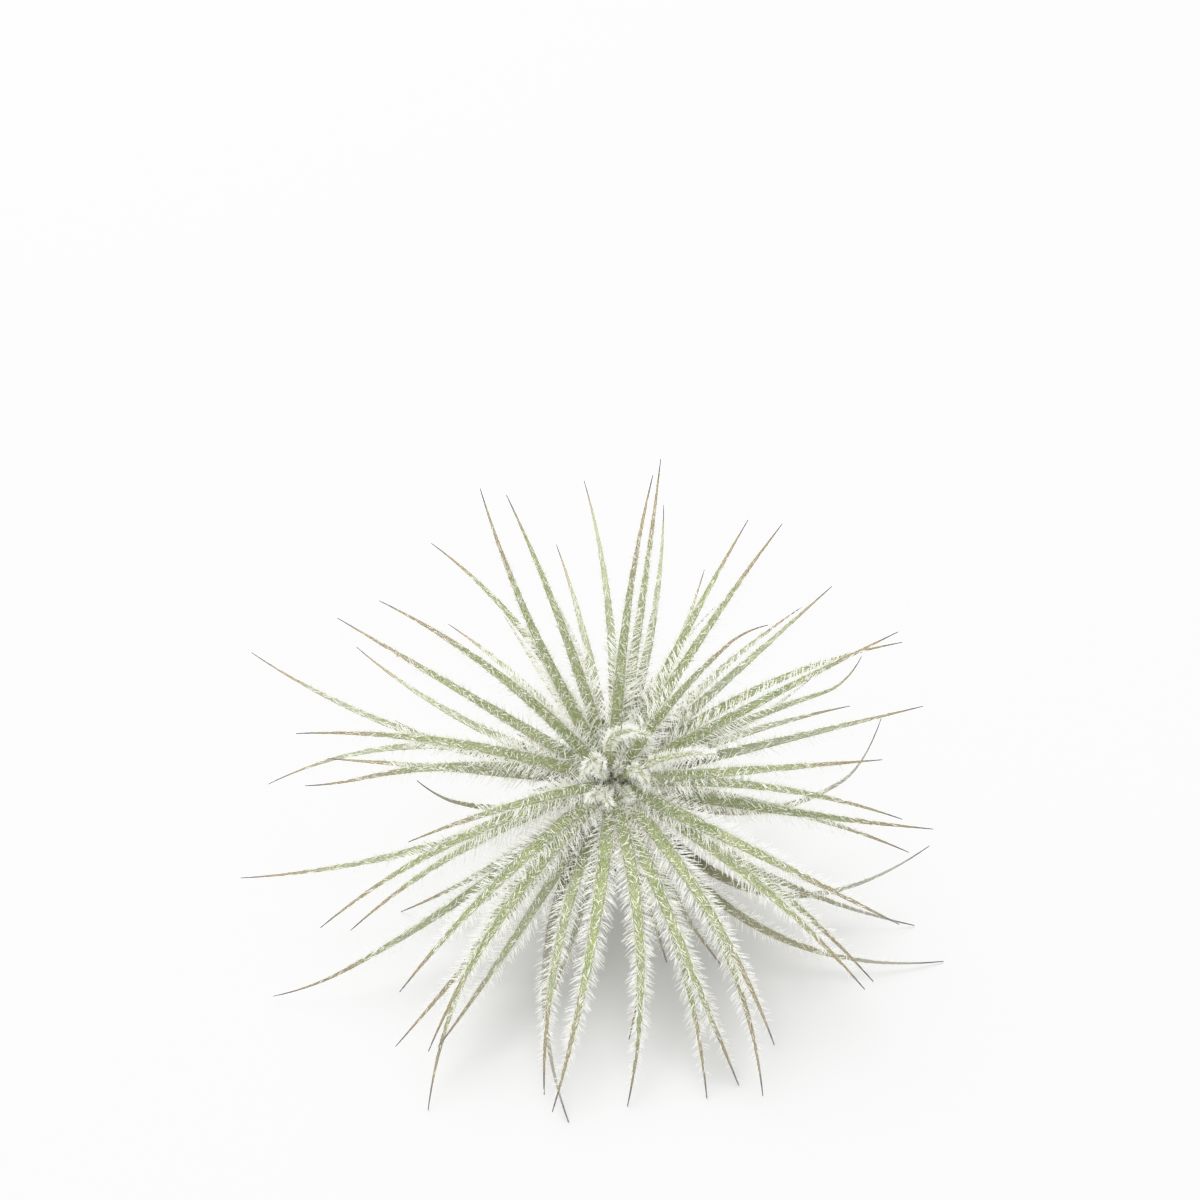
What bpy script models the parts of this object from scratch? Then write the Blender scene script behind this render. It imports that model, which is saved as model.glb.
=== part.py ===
"""Tectorum air plant: a woody stub carrying a rosette of narrow channelled leaves.

The plant lies tipped over on the end of its stem and on the tips of its lowest leaves.
Every sub-part is modelled in the plant's own frame, in metres: X across, Y up the face of
the rosette and Z out along the stem towards the heart. An empty tips that frame over.
"""
import math
import random
from dataclasses import dataclass

import bmesh
import bpy
from mathutils import Matrix, Vector

MM = 0.001

# Where the plant stands: its heart above the floor, and its stem tipped from upright.
HEART = Vector((3.56, -1.25, 28.0)) * MM
TILT = math.radians(40.0)

# The stem and the two cores of sheaths that the leaves grow from.
STUB_END = -36.2 * MM
STEM_RADIUS = 3.3 * MM
SPIGOT_RADIUS = 1.9 * MM
SPIGOT_TOP = -7.0 * MM
STEM_SHOULDER = -20.0 * MM
SCARS = 5
SCAR_TAPER = 0.03
SCAR_DEPTH = 0.5 * MM
GAP = 0.3 * MM
OLD_CORE = (-19.7 * MM, -14.3 * MM)
GREEN_CORE = (-14.0 * MM, -2.2 * MM)
CORE_RADIUS = 4.9 * MM
SOCKET_RADIUS = 2.3 * MM
SOCKET_FLOOR = -4.6 * MM
TURN_STEPS = 16

# The blades.
BLADE_SIDES = 6
BLADE_RINGS = 10
CURLED_RINGS = 11
BLADE_WIDTH = 2.1 * MM
BLADE_THICKNESS = 1.0 * MM
TIP_THICKNESS = 0.62 * MM
CHANNEL = 0.5 * MM
TAPER = 1.7
ROOT_WIDTH = 0.7
ROOT_LENGTH = 0.12
HOOK_START = 0.8
ROLL_SPREAD = math.radians(16.0)
SEED = 7

# The dry sheaths left on the stem, each turned on from the last by the golden angle.
SCALES = 10
SCALE_TURN = 137.5
SCALE_SEATS = (-32.0, -21.5)
SCALE_LENGTH = 6.5
SCALE_TOP = -20.7
SCALE_REACH = 4.7
SCALE_RINGS = 4


@dataclass(frozen=True)
class Leaf:
    """A leaf seen from in front of the heart: degrees from +X, and millimetres.

    reach and rise place the tip out from the stem and forward of the heart; a rise of None
    lays the tip on the floor. seat is where the root meets the stem. bow and arch bulge the
    middle sideways and forwards. hook bends the last stretch sideways and forwards.
    """

    azimuth: float
    reach: float
    rise: float | None
    seat: float
    bow: float = 0.0
    arch: float = 6.0
    hook: tuple[float, float] = (0.0, 0.0)
    width: float = 1.0
    root: float = 3.4


# The young upper leaves, whose tips stand forward of the heart.
UPPER_LEAVES = (
    Leaf(115, 50, 12, -4, bow=1.6, arch=5),
    Leaf(111, 48, 9, -5, bow=-1.0, arch=5),
    Leaf(83, 48, 12, -4, bow=1.2, arch=5),
    Leaf(82, 52, 5, -7, bow=-0.4, arch=5),
    Leaf(57, 48, 11, -4, bow=0.8, arch=5),
    Leaf(48, 34, 13, -3, bow=1.6, arch=5, hook=(-1.5, -1.0), width=0.85),
    Leaf(28, 50, 11, -4, bow=0.3, arch=5),
    Leaf(5, 42, 9, -4, arch=5),
    Leaf(353, 45, 10, -4, bow=2.2, arch=5, width=0.9),
    Leaf(334, 49, 10, -3, arch=6, width=1.1),
    Leaf(321, 50, 9, -4, bow=2.0, arch=6, width=1.1),
    Leaf(302, 47, 10, -4, bow=2.2, arch=6, width=1.1),
    Leaf(293, 51, None, -4, arch=7, width=1.15),
    Leaf(273, 50, None, -3, bow=3.0, arch=6, width=1.1),
    Leaf(260, 51, 9.5, -4, bow=1.3, arch=6, width=1.15),
    Leaf(236, 50, 9, -4, bow=-2.4, arch=6, width=1.1),
    Leaf(225, 46, 9, -4, bow=-1.4, arch=6, width=1.1),
    Leaf(207, 51, 6, -4, bow=-2.7, arch=6),
    Leaf(197, 33, 10, -3, bow=-0.8, arch=5, width=0.8),
    Leaf(172, 50, 9, -4, bow=-2.2, arch=6),
    Leaf(150, 50, 10, -4, arch=6),
    Leaf(143, 46, 11, -3, bow=-2.2, arch=5),
)

# The middle leaves, spread almost flat.
MIDDLE_LEAVES = (
    Leaf(63, 47, 4, -7, bow=0.6),
    Leaf(26, 51, 4, -7, bow=3.2),
    Leaf(22, 45, -2, -9, bow=1.2, hook=(4.0, 0.0)),
    Leaf(352, 51, 4, -7, bow=-0.6, width=1.1),
    Leaf(323, 51, 5, -8, bow=2.3),
    Leaf(296, 53, 9, -8, bow=4.5, arch=5),
    Leaf(287, 51, None, -7, bow=2.4),
    Leaf(274, 40, 5, -9, bow=3.0, arch=5),
    Leaf(258, 49, 8, -8, bow=-2.8),
    Leaf(241, 58, None, -8, bow=-5.6, arch=5),
    Leaf(237, 49, 7, -9, bow=0.6),
    Leaf(231, 53, 6, -9, bow=0.4, arch=5),
    Leaf(214, 65, None, -9, bow=2.2, arch=5, hook=(-1.5, 0.0)),
    Leaf(210, 48, 0, -8, bow=-2.4),
    Leaf(195, 64, -12, -9, bow=2.8, arch=7),
    Leaf(183, 49, 2, -8, bow=-3.4, hook=(-1.4, 0.5)),
    Leaf(176, 46, 0, -9, arch=7),
    Leaf(128, 49, -3, -8, bow=-3.2),
)

# The lower green leaves, which fall back behind the heart.
BACK_LEAVES = (
    Leaf(96, 51, -12, -11, bow=-2.0, arch=7),
    Leaf(80, 47, -10, -11, bow=-1.7, arch=7),
    Leaf(42, 49, -10, -11, arch=7),
    Leaf(14, 53, -10, -11, arch=7),
    Leaf(347, 50, -9, -11, bow=2.0, arch=7),
    Leaf(181, 58, -14, -11, bow=-6.0, arch=7),
    Leaf(161, 65, -14, -12, bow=3.6, arch=7),
    Leaf(104, 42, -20, -12, bow=-1.0, arch=5),
    Leaf(124, 34, -20, -12, arch=4),
    Leaf(153, 50, -20, -12, bow=2.5, arch=5),
    Leaf(43, 44, -18, -12, bow=1.5, arch=5),
    Leaf(67, 40, -22, -12, bow=-1.0, arch=4),
    Leaf(18, 43, -22, -12, bow=1.0, arch=4),
    Leaf(137, 40, -26, -12, bow=-1.5, arch=3),
    Leaf(287, 31, None, -12, arch=4, width=0.9),
    Leaf(254, 38, None, -12, bow=1.0, arch=4, width=0.9),
    Leaf(231, 40, None, -12.5, bow=-1.0, arch=4, width=0.9),
    Leaf(301, 35, None, -12.5, bow=-1.0, arch=4, width=0.9),
    Leaf(212, 42, None, -12.5, bow=1.5, arch=5, width=0.9),
)

# The oldest leaves, grey and dry, lying out along the floor.
OLD_LEAVES = (
    Leaf(332, 62, None, -16, bow=-9.5, arch=6),
    Leaf(349, 54, -14, -17, bow=-13.0, arch=3),
    Leaf(335, 56, None, -17, bow=-3.0, arch=5),
    Leaf(8, 47, -18, -17, bow=-8.0, arch=4, hook=(5.0, 0.0)),
    Leaf(183, 32, -8, -16, bow=3.6, arch=2, hook=(-1.5, 3.0)),
    Leaf(263, 52.5, None, -16, bow=-6.9, arch=4),
    Leaf(300, 24, None, -17, arch=2),
    Leaf(222, 33, None, -17, bow=2.0, arch=3),
    Leaf(60, 36, -30, -17, bow=2.0, arch=2),
    Leaf(110, 38, -31, -17, bow=-2.0, arch=2),
    Leaf(165, 40, -28, -17, bow=2.0, arch=2),
    Leaf(28, 40, -28, -17, bow=-2.0, arch=2),
)

# The young leaves of the heart, curled over on themselves.
HEART_LEAVES = (
    Leaf(43, 9.5, 7, -3, bow=5.0, arch=6, hook=(0.0, -1.5), width=0.62, root=1.0),
    Leaf(181, 5.0, 5, -3, bow=-3.4, arch=5, hook=(0.0, -1.0), width=0.55, root=1.0),
    Leaf(342, 5.6, 5, -3, bow=2.9, arch=4, hook=(0.0, -1.0), width=0.55, root=1.0),
    Leaf(222, 4.6, 5, -2.6, arch=3, width=0.5, root=1.1),
    Leaf(14, 17.0, 12, -3, bow=1.5, arch=7, hook=(0.0, -2.0), width=0.6, root=0.8),
    Leaf(268, 4.0, 6, -2.8, bow=-1.0, arch=2, width=0.5, root=0.9),
    Leaf(118, 3.4, 7, -2.4, bow=1.0, arch=1, width=0.5, root=1.0),
)


def polar(radius: float, azimuth: float, height: float) -> Vector:
    """A point in the plant's frame from its distance, angle and height on the stem."""
    return Vector((radius * math.cos(azimuth), radius * math.sin(azimuth), height))


def floor_rise(reach: float, azimuth: float) -> float:
    """How far forward of the heart a tip at this reach lies down on the floor."""
    drop = HEART.z + reach * math.sin(azimuth) * math.sin(TILT)
    return (0.4 * TIP_THICKNESS - drop) / math.cos(TILT)


def midline(leaf: Leaf, along: float) -> Vector:
    """A point on a leaf's middle, at a share of the way from its root to its tip."""
    azimuth = math.radians(leaf.azimuth)
    reach = leaf.reach * MM
    rise = floor_rise(reach, azimuth) if leaf.rise is None else leaf.rise * MM
    root = polar(leaf.root * MM, azimuth, leaf.seat * MM)
    side = polar(1.0, azimuth + math.pi / 2, 0.0)
    forward = Vector((0.0, 0.0, 1.0))
    point = root.lerp(polar(reach, azimuth, rise), along)
    swell = 4 * along * (1 - along)
    point += swell * MM * (side * leaf.bow + forward * leaf.arch)
    bend = max(0.0, (along - HOOK_START) / (1 - HOOK_START)) ** 2
    return point + bend * MM * (side * leaf.hook[0] + forward * leaf.hook[1])


def leaf_axes(leaf: Leaf, along: float, roll: float) -> tuple[Vector, Vector]:
    """The directions across a blade and up out of its channel, at a share of its length."""
    step = 0.01
    start = max(0.0, along - step)
    run = (midline(leaf, start + 2 * step) - midline(leaf, start)).normalized()
    side = polar(1.0, math.radians(leaf.azimuth) + math.pi / 2, 0.0)
    across = (side - run * side.dot(run)).normalized()
    upward = run.cross(across).normalized()
    turn = Matrix.Rotation(roll * along, 3, run)
    return turn @ across, turn @ upward


def add_blade(leaf: Leaf, index: int, roll: float, rings: int, home: bpy.types.Collection):
    """A channelled blade: a cylinder cut into rings, then laid along the leaf's middle."""
    bm = bmesh.new()
    turn = Matrix.Rotation(math.pi / BLADE_SIDES, 4, "Z") @ Matrix.Translation((0, 0, 0.5))
    bmesh.ops.create_cone(
        bm, cap_ends=True, segments=BLADE_SIDES, radius1=1.0, radius2=1.0, depth=1.0,
        matrix=turn)
    lengthwise = [e for e in bm.edges if abs(e.verts[0].co.z - e.verts[1].co.z) > 0.5]
    bmesh.ops.subdivide_edges(bm, edges=lengthwise, cuts=rings - 1, use_grid_fill=True)
    for vert in bm.verts:
        along = min(1.0, max(0.0, vert.co.z))
        across, upward = leaf_axes(leaf, along, roll)
        taper = 1 - along ** TAPER
        clasp = ROOT_WIDTH + (1 - ROOT_WIDTH) * min(1.0, along / ROOT_LENGTH)
        half = (TIP_THICKNESS + BLADE_WIDTH * leaf.width * taper * clasp) / 2
        thick = TIP_THICKNESS + (BLADE_THICKNESS - TIP_THICKNESS) * taper
        depth = CHANNEL * taper * vert.co.x ** 2
        place = midline(leaf, along)
        place += across * (half * vert.co.x) + upward * (depth + thick * vert.co.y / 2)
        vert.co = lift_to_floor(place)
    return add_object(f"blade_{index:02d}", bm, home)


def lift_to_floor(place: Vector) -> Vector:
    """Press a point that would lie under the floor up against it."""
    height = HEART.z + place.y * math.sin(TILT) + place.z * math.cos(TILT)
    if height >= 0:
        return place
    return place - height * Vector((0.0, math.sin(TILT), math.cos(TILT)))


def add_object(name: str, bm: bmesh.types.BMesh, home: bpy.types.Collection):
    """Turn a bmesh into an object in a collection."""
    mesh = bpy.data.meshes.new(name)
    bm.to_mesh(mesh)
    bm.free()
    piece = bpy.data.objects.new(name, mesh)
    home.objects.link(piece)
    return piece


def add_turned(name: str, profile: list[tuple[float, float]], home: bpy.types.Collection):
    """A turned solid from a profile of radius and height, run down its outer side.

    A profile that stays off the axis is closed back to its first point, as a ring.
    """
    bm = bmesh.new()
    verts = [bm.verts.new((radius, 0.0, height)) for radius, height in profile]
    if min(radius for radius, height in profile) > 0:
        verts.append(verts[0])
    for first, second in zip(verts, verts[1:]):
        bm.edges.new((first, second))
    piece = add_object(name, bm, home)
    screw = piece.modifiers.new("turn", "SCREW")
    screw.steps = TURN_STEPS
    screw.render_steps = TURN_STEPS
    screw.use_merge_vertices = True
    screw.merge_threshold = 0.00001
    return piece


def apply_modifiers(piece: bpy.types.Object) -> None:
    """Replace a piece's mesh with the one its modifiers make."""
    bpy.context.view_layer.update()
    graph = bpy.context.evaluated_depsgraph_get()
    mesh = bpy.data.meshes.new_from_object(piece.evaluated_get(graph))
    piece.modifiers.clear()
    piece.data = mesh


def clear_collection(home: bpy.types.Collection) -> None:
    """Remove a collection and all the objects in it."""
    for piece in list(home.objects):
        bpy.data.objects.remove(piece)
    bpy.data.collections.remove(home)


def keep_largest_body(piece: bpy.types.Object) -> None:
    """Drop the loose scraps and sealed hollows that fusing leaves, and keep the plant."""
    bm = bmesh.new()
    bm.from_mesh(piece.data)
    unseen = set(bm.verts)
    bodies = []
    while unseen:
        frontier = [unseen.pop()]
        body = list(frontier)
        while frontier:
            vert = frontier.pop()
            for edge in vert.link_edges:
                other = edge.other_vert(vert)
                if other in unseen:
                    unseen.remove(other)
                    frontier.append(other)
                    body.append(other)
        bodies.append(body)
    bodies.sort(key=len)
    for body in bodies[:-1]:
        bmesh.ops.delete(bm, geom=body, context="VERTS")
    bm.to_mesh(piece.data)
    bm.free()


def fuse_leaves(core: bpy.types.Object, leaves, rings: int, rng: random.Random) -> None:
    """Grow leaves from a core and fuse them with it in one union."""
    blades = bpy.data.collections.new(f"{core.name}_blades")
    bpy.context.scene.collection.children.link(blades)
    for index, leaf in enumerate(leaves):
        add_blade(leaf, index, rng.uniform(-ROLL_SPREAD, ROLL_SPREAD), rings, blades)
    apply_modifiers(core)
    union = core.modifiers.new("fuse", "BOOLEAN")
    union.operation = "UNION"
    union.operand_type = "COLLECTION"
    union.collection = blades
    union.solver = "MANIFOLD"
    apply_modifiers(core)
    clear_collection(blades)
    keep_largest_body(core)


def add_material(piece: bpy.types.Object, colour: tuple[float, float, float], rough: float):
    """Give a piece its own dry, unmetallic finish."""
    material = bpy.data.materials.new(piece.name)
    material.use_nodes = True
    shader = material.node_tree.nodes["Principled BSDF"]
    shader.inputs["Base Color"].default_value = (*colour, 1.0)
    shader.inputs["Roughness"].default_value = rough
    shader.inputs["Metallic"].default_value = 0.0
    material.diffuse_color = (*colour, 1.0)
    piece.data.materials.clear()
    piece.data.materials.append(material)


def stem_scales() -> tuple[Leaf, ...]:
    """The short dry sheaths that clasp the stem, wound up it in one spiral."""
    low, high = SCALE_SEATS
    scales = []
    for index in range(SCALES):
        seat = low + (high - low) * index / (SCALES - 1)
        tip = min(seat + SCALE_LENGTH, SCALE_TOP)
        azimuth = index * SCALE_TURN % 360
        scales.append(Leaf(azimuth, SCALE_REACH, tip, seat, arch=0.4, width=0.95, root=1.8))
    return tuple(scales)


def make_stem(home: bpy.types.Collection, rng: random.Random):
    """The woody stub, swollen by old leaf scars, with a spigot that carries the leaves."""
    profile = [(0.0, SPIGOT_TOP), (SPIGOT_RADIUS, SPIGOT_TOP)]
    profile.append((SPIGOT_RADIUS, STEM_SHOULDER))
    pitch = (STEM_SHOULDER - STUB_END) / SCARS
    for scar in range(SCARS):
        top = STEM_SHOULDER - scar * pitch
        radius = STEM_RADIUS * (1 - SCAR_TAPER * scar)
        profile.append((radius, top - 0.12 * pitch))
        profile.append((radius - SCAR_DEPTH, top - 0.88 * pitch))
    profile.append((STEM_RADIUS * 0.55, STUB_END))
    profile.append((0.0, STUB_END))
    stem = add_turned("stem", profile, home)
    fuse_leaves(stem, stem_scales(), SCALE_RINGS, rng)
    flatten_foot(stem)
    add_material(stem, (0.23, 0.15, 0.09), 0.85)
    return stem


def flatten_foot(stem: bpy.types.Object) -> None:
    """Cut the small flat that the stub rests on, level with the floor."""
    bm = bmesh.new()
    bm.from_mesh(stem.data)
    level = Vector((0.0, math.sin(TILT), math.cos(TILT)))
    cut = bmesh.ops.bisect_plane(
        bm, geom=bm.verts[:] + bm.edges[:] + bm.faces[:], plane_co=-HEART.z * level,
        plane_no=level, clear_inner=True)
    edges = [item for item in cut["geom_cut"] if isinstance(item, bmesh.types.BMEdge)]
    bmesh.ops.edgeloop_fill(bm, edges=edges)
    bmesh.ops.recalc_face_normals(bm, faces=bm.faces)
    bm.to_mesh(stem.data)
    bm.free()


def make_old_leaves(home: bpy.types.Collection, rng: random.Random):
    """The lowest, dried leaves on a ring of sheaths round the stem's spigot."""
    low, high = OLD_CORE
    bore = SPIGOT_RADIUS + GAP
    profile = [(bore, high), (CORE_RADIUS * 0.95, high), (CORE_RADIUS, low + 2.4 * MM)]
    profile += [(CORE_RADIUS * 0.82, low), (bore, low)]
    core = add_turned("old_leaves", profile, home)
    fuse_leaves(core, OLD_LEAVES, CURLED_RINGS, rng)
    add_material(core, (0.30, 0.27, 0.20), 0.8)
    return core


def make_green_leaves(home: bpy.types.Collection, rng: random.Random):
    """The living rosette on its core of sheaths, with a socket for the heart on top."""
    low, high = GREEN_CORE
    bore = SPIGOT_RADIUS + GAP
    profile = [(0.0, SOCKET_FLOOR), (SOCKET_RADIUS, SOCKET_FLOOR), (SOCKET_RADIUS, high)]
    profile += [(CORE_RADIUS * 0.62, high), (CORE_RADIUS * 0.9, high - 3 * MM)]
    profile += [(CORE_RADIUS, low + 3 * MM), (CORE_RADIUS * 0.95, low), (bore, low)]
    profile += [(bore, SPIGOT_TOP + GAP), (0.0, SPIGOT_TOP + GAP)]
    core = add_turned("green_leaves", profile, home)
    leaves = UPPER_LEAVES + MIDDLE_LEAVES + BACK_LEAVES
    fuse_leaves(core, leaves, BLADE_RINGS, rng)
    add_material(core, (0.36, 0.42, 0.24), 0.7)
    return core


def make_heart_leaves(home: bpy.types.Collection, rng: random.Random):
    """The curled young leaves on a plug of sheaths that sits in the rosette's socket."""
    radius = SOCKET_RADIUS - GAP
    base = SOCKET_FLOOR + GAP
    profile = [(0.0, 0.0), (radius * 0.5, -0.2 * MM), (radius, -1.6 * MM)]
    profile += [(radius, base), (0.0, base)]
    core = add_turned("heart_leaves", profile, home)
    fuse_leaves(core, HEART_LEAVES, CURLED_RINGS, rng)
    add_material(core, (0.52, 0.56, 0.40), 0.8)
    return core


def main() -> None:
    """Clear the scene, model the plant and tip it over on to its stub and leaf tips."""
    for thing in list(bpy.data.objects):
        bpy.data.objects.remove(thing)
    home = bpy.data.collections.new("tectorum_air_plant")
    bpy.context.scene.collection.children.link(home)
    rng = random.Random(SEED)
    pieces = [make_stem(home, rng), make_old_leaves(home, rng)]
    pieces += [make_green_leaves(home, rng), make_heart_leaves(home, rng)]
    plant = bpy.data.objects.new("plant_frame", None)
    home.objects.link(plant)
    plant.location = HEART
    plant.rotation_euler = (TILT, 0.0, 0.0)
    for piece in pieces:
        piece.parent = plant


main()
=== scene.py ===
"""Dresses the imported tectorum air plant: fine blades, their coat of white hairs, and a studio.

The blades follow the same rule as the solids do, in the plant's own frame: X across, Y up the
face of the rosette and Z out along the stem, from the heart. Everything is then tipped over and
lifted into the row frame, in metres.
"""
import logging
import math
import random
from collections.abc import Callable
from dataclasses import dataclass
from enum import Enum

import bpy
import numpy as np
from mathutils import Euler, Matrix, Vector


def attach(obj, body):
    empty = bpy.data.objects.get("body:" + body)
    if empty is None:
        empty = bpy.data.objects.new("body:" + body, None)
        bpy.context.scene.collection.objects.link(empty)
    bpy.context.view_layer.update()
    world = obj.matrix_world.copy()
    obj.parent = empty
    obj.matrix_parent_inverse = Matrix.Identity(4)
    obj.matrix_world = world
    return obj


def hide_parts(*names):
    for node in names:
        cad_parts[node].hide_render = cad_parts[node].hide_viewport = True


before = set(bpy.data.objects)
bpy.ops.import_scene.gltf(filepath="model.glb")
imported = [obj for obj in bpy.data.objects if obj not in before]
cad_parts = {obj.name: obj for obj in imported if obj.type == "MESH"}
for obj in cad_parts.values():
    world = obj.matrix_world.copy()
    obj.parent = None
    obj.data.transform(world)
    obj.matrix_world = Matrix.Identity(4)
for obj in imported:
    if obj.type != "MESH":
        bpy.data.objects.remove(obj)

LOG = logging.getLogger("air_plant")
MM = 0.001
Colour = tuple[float, float, float]
Socket = bpy.types.NodeSocket
Value = float | Socket

HEART = np.array((3.56, -1.25, 28.0)) * MM
TILT = math.radians(40.0)
ROW_UP = np.array((0.0, math.sin(TILT), math.cos(TILT)))
ROLL_SPREAD = math.radians(16.0)
ROLL_SEED = 7
HAIR_SEED = 21
GOLDEN_TURN = 137.5
SMOOTH_BELOW = math.radians(60.0)


class Slot(Enum):
    """The record's material slots."""

    GREEN_LEAF = "green_leaf"
    YOUNG_LEAF = "young_leaf"
    OLD_LEAF = "old_leaf"
    STEM_BARK = "stem_bark"
    LEAF_HAIR = "leaf_hair"


def to_row(points: np.ndarray) -> np.ndarray:
    """Tip points from the plant's frame over into the row frame.

    Args:
        points: Places in the plant's frame, one a row.

    Returns:
        The same places in the row frame.
    """
    tipped = np.array(points, float)
    tipped[:, 1] = points[:, 1] * math.cos(TILT) - points[:, 2] * math.sin(TILT)
    tipped[:, 2] = points[:, 1] * math.sin(TILT) + points[:, 2] * math.cos(TILT)
    return tipped + HEART


def unit(vectors: np.ndarray) -> np.ndarray:
    """Return the same vectors, one a row, at a length of one."""
    return vectors / np.linalg.norm(vectors, axis=1, keepdims=True).clip(1e-12)


def polar(radius: float, azimuth: float, height: float) -> np.ndarray:
    """Return a point of the plant's frame from its distance, angle and height on the stem."""
    return np.array((radius * math.cos(azimuth), radius * math.sin(azimuth), height))


@dataclass(frozen=True)
class Leaf:
    """A leaf seen from in front of the heart: degrees from +X, and millimetres.

    reach and rise place the tip out from the stem and forward of the heart; a rise of None
    lays the tip on the floor. seat is where the root meets the stem. bow and arch bulge the
    middle sideways and forwards. hook bends the last stretch sideways and forwards. dry is
    how far the tip has browned.
    """

    azimuth: float
    reach: float
    rise: float | None
    seat: float
    bow: float = 0.0
    arch: float = 6.0
    hook: tuple[float, float] = (0.0, 0.0)
    width: float = 1.0
    root: float = 2.3
    dry: float = 0.3

    HOOK_START = 0.8
    FLOOR_CLEAR = 0.25 * MM

    def tip_height(self) -> float:
        """Find how far forward of the heart the tip is, on the floor where rise is None.

        Returns:
            The height in the plant's frame, in metres.
        """
        if self.rise is not None:
            return self.rise * MM
        lift = self.reach * MM * math.sin(math.radians(self.azimuth)) * math.sin(TILT)
        return (self.FLOOR_CLEAR - HEART[2] - lift) / math.cos(TILT)

    def midline(self, along: np.ndarray) -> np.ndarray:
        """Follow the leaf's middle.

        Args:
            along: Shares of the way from root to tip.

        Returns:
            Points in the plant's frame, one for each share.
        """
        azimuth = math.radians(self.azimuth)
        root = polar(self.root * MM, azimuth, self.seat * MM)
        tip = polar(self.reach * MM, azimuth, self.tip_height())
        side = polar(1.0, azimuth + math.pi / 2, 0.0)
        forward = np.array((0.0, 0.0, 1.0))
        share = along[:, None]
        swell = 4 * share * (1 - share) * MM
        bend = ((share - self.HOOK_START) / (1 - self.HOOK_START)).clip(0.0) ** 2 * MM
        points = root * (1 - share) + tip * share
        points = points + swell * (side * self.bow + forward * self.arch)
        return points + bend * (side * self.hook[0] + forward * self.hook[1])

    def axes(self, along: np.ndarray, roll: float) -> tuple[np.ndarray, np.ndarray, np.ndarray]:
        """Find the blade's own directions along its length.

        Args:
            along: Shares of the way from root to tip.
            roll: Turn of the blade about its length at the tip, in radians.

        Returns:
            Unit vectors down the blade, across it, and up out of its channel.
        """
        step = 0.01
        start = (along - step).clip(0.0)
        run = unit(self.midline(start + 2 * step) - self.midline(start))
        side = polar(1.0, math.radians(self.azimuth) + math.pi / 2, 0.0)
        across = unit(side - run * (run @ side)[:, None])
        upward = unit(np.cross(run, across))
        turn = (roll * along)[:, None]
        rolled = across * np.cos(turn) + upward * np.sin(turn)
        return run, rolled, upward * np.cos(turn) - across * np.sin(turn)

    def length(self) -> float:
        """Return the length of the leaf's middle, in metres."""
        points = self.midline(np.linspace(0.0, 1.0, 24))
        return float(np.linalg.norm(np.diff(points, axis=0), axis=1).sum())


# The young upper leaves, whose tips stand forward of the heart.
UPPER_LEAVES = (
    Leaf(115, 50, 12, -4, bow=1.6, arch=5, dry=0.55),
    Leaf(111, 48, 9, -5, bow=-1.0, arch=5, dry=0.2),
    Leaf(83, 48, 12, -4, bow=1.2, arch=5, dry=0.75),
    Leaf(82, 52, 5, -7, bow=-0.4, arch=5, dry=0.6),
    Leaf(57, 48, 11, -4, bow=0.8, arch=5, dry=0.5),
    Leaf(48, 34, 13, -3, bow=1.6, arch=5, hook=(-1.5, -1.0), width=0.85, dry=0.6),
    Leaf(28, 50, 11, -4, bow=0.3, arch=5, dry=0.45),
    Leaf(5, 42, 9, -4, arch=5, dry=0.55),
    Leaf(353, 45, 10, -4, bow=2.2, arch=5, width=0.9, dry=0.5),
    Leaf(334, 49, 10, -3, arch=6, width=1.1, dry=0.7),
    Leaf(321, 50, 9, -4, bow=2.0, arch=6, width=1.1, dry=0.5),
    Leaf(302, 47, 10, -4, bow=2.2, arch=6, width=1.1, dry=0.7),
    Leaf(293, 51, None, -4, arch=7, width=1.15, dry=0.45),
    Leaf(273, 50, None, -3, bow=3.0, arch=6, width=1.1, dry=0.4),
    Leaf(260, 51, 9.5, -4, bow=1.3, arch=6, width=1.15, dry=0.6),
    Leaf(236, 50, 9, -4, bow=-2.4, arch=6, width=1.1, dry=0.3),
    Leaf(225, 46, 9, -4, bow=-1.4, arch=6, width=1.1, dry=0.4),
    Leaf(207, 51, 6, -4, bow=-2.7, arch=6, dry=0.5),
    Leaf(197, 33, 10, -3, bow=-0.8, arch=5, width=0.8, dry=0.8),
    Leaf(172, 50, 9, -4, bow=-2.2, arch=6, dry=0.55),
    Leaf(150, 50, 10, -4, arch=6, dry=0.6),
    Leaf(143, 46, 11, -3, bow=-2.2, arch=5, dry=0.65),
)

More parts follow.
